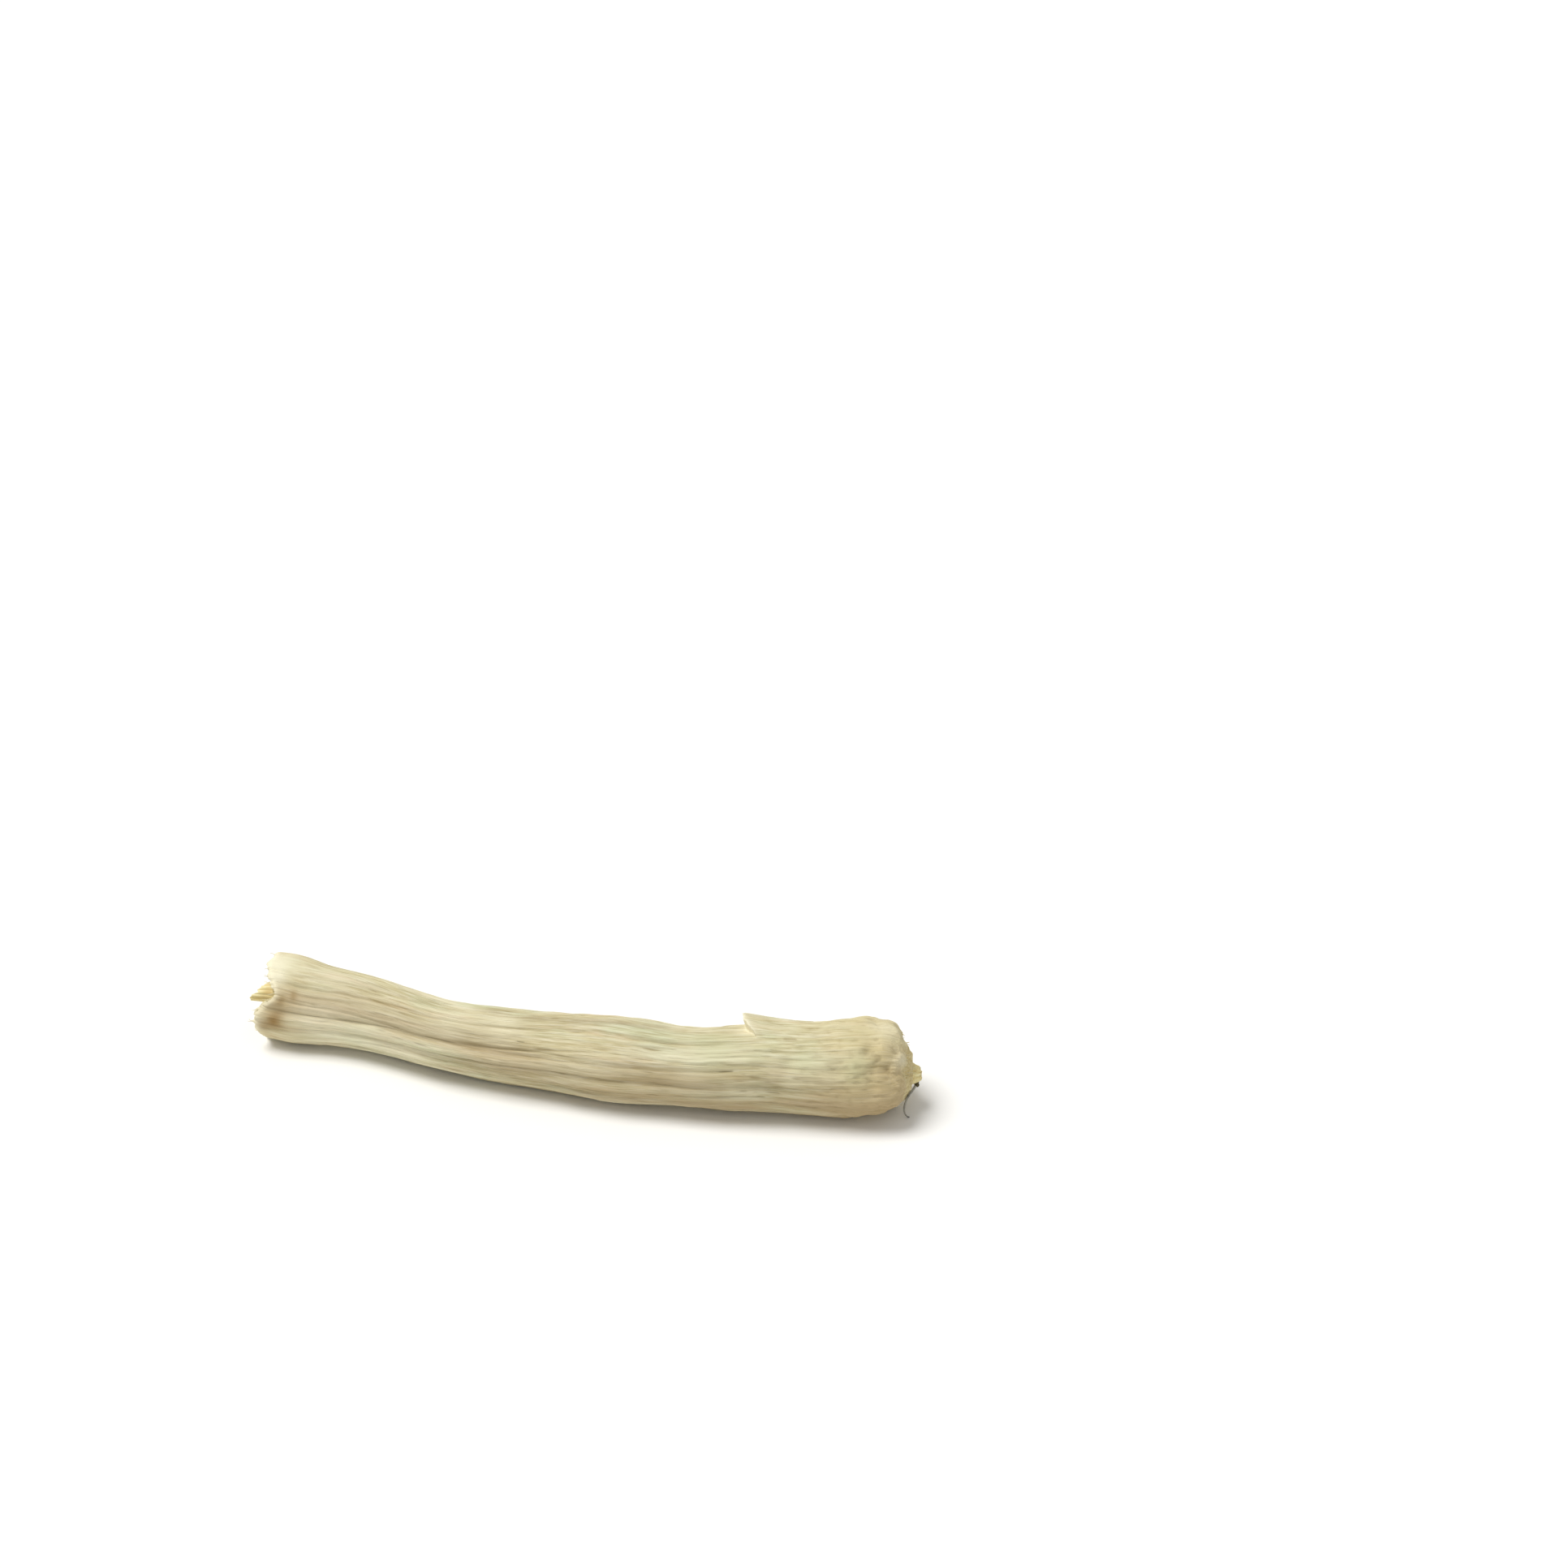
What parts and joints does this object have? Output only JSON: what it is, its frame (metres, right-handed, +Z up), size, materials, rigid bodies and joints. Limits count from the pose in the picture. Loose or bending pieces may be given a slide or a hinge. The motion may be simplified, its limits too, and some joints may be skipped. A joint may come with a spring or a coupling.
{
  "type": "shatavari root",
  "caption": "Dried, peeled shatavari root: a bent, furrowed straw-coloured stick, torn along its back and broken at both ends, with its woody core showing.",
  "frame": {"origin": "centre of the root's bounding box, at the level of the surface it lies on", "axes": "+X along the root, from the hollow broken end with the long splinter of core to the thick domed end; +Y away from the side that it bows towards; +Z up"},
  "size_m": [0.1064, 0.02, 0.0148],
  "materials": {
    "dried_cortex": "matte",
    "woody_core": "matte"
  },
  "bodies": {
    "root": {"shatavari_root": "dried_cortex"}
  },
  "joints": []
}
